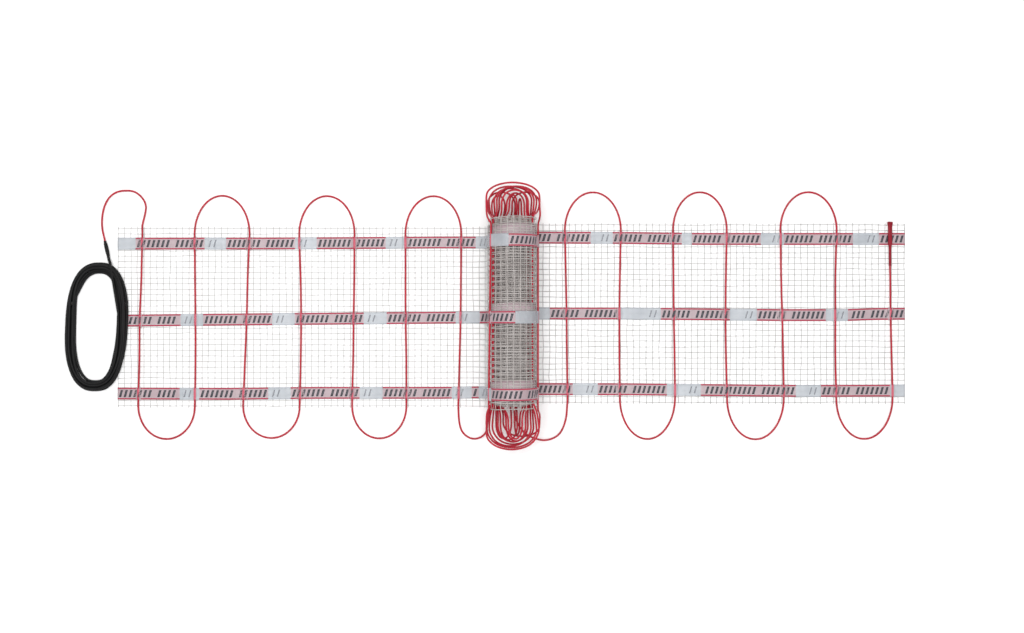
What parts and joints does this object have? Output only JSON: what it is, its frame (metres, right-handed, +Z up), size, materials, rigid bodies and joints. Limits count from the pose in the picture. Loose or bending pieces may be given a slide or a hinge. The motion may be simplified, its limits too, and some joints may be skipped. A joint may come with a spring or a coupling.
{
  "type": "underfloor heating mat",
  "caption": "Flat heating mat on glass-fibre mesh, unrolled from both ends with its middle still on the roll, red cable in loops under tapes and a black lead in an oval coil.",
  "frame": {"origin": "on the floor, under the middle of the mat's own box, cable tail, splice and cold lead left out", "axes": "+X along the mat towards the end with the end seal, +Y across it towards the side where the cable tail leaves, +Z up; the roll's axis is along Y"},
  "size_m": [1.6789, 0.5196, 0.1039],
  "materials": {
    "glass_fibre_mesh": "open net of coated glass-fibre threads, pale grey, slightly glossy",
    "heating_cable": "smooth extruded red PVC sheath, satin",
    "mounting_tape": "thin translucent polypropylene tape with red printed edges and plain grey marks",
    "end_seal": "dark red heat-shrink sleeve, pressed flat at its end",
    "splice_sleeve": "black heat-shrink sleeve, satin",
    "cold_lead": "smooth extruded black PVC sheath, satin"
  },
  "bodies": {
    "root": {"glass_fibre_mesh": "glass_fibre_mesh", "heating_cable_left": "heating_cable", "heating_cable_right": "heating_cable", "roll_loop_top_1": "heating_cable", "roll_loop_top_2": "heating_cable", "roll_loop_top_3": "heating_cable", "roll_loop_top_4": "heating_cable", "roll_loop_top_5": "heating_cable", "roll_loop_top_6": "heating_cable", "roll_loop_top_7": "heating_cable", "roll_loop_bottom_2": "heating_cable", "roll_loop_bottom_3": "heating_cable", "roll_loop_bottom_4": "heating_cable", "roll_loop_bottom_5": "heating_cable", "roll_loop_bottom_6": "heating_cable", "roll_loop_bottom_7": "heating_cable", "tape_top_left": "mounting_tape", "tape_middle_left": "mounting_tape", "tape_bottom_left": "mounting_tape", "tape_top_right": "mounting_tape", "tape_middle_right": "mounting_tape", "tape_bottom_right": "mounting_tape", "end_seal": "end_seal", "cable_tail": "heating_cable", "splice_sleeve": "splice_sleeve", "cold_lead": "cold_lead", "cold_lead_hank": "cold_lead"}
  },
  "joints": []
}
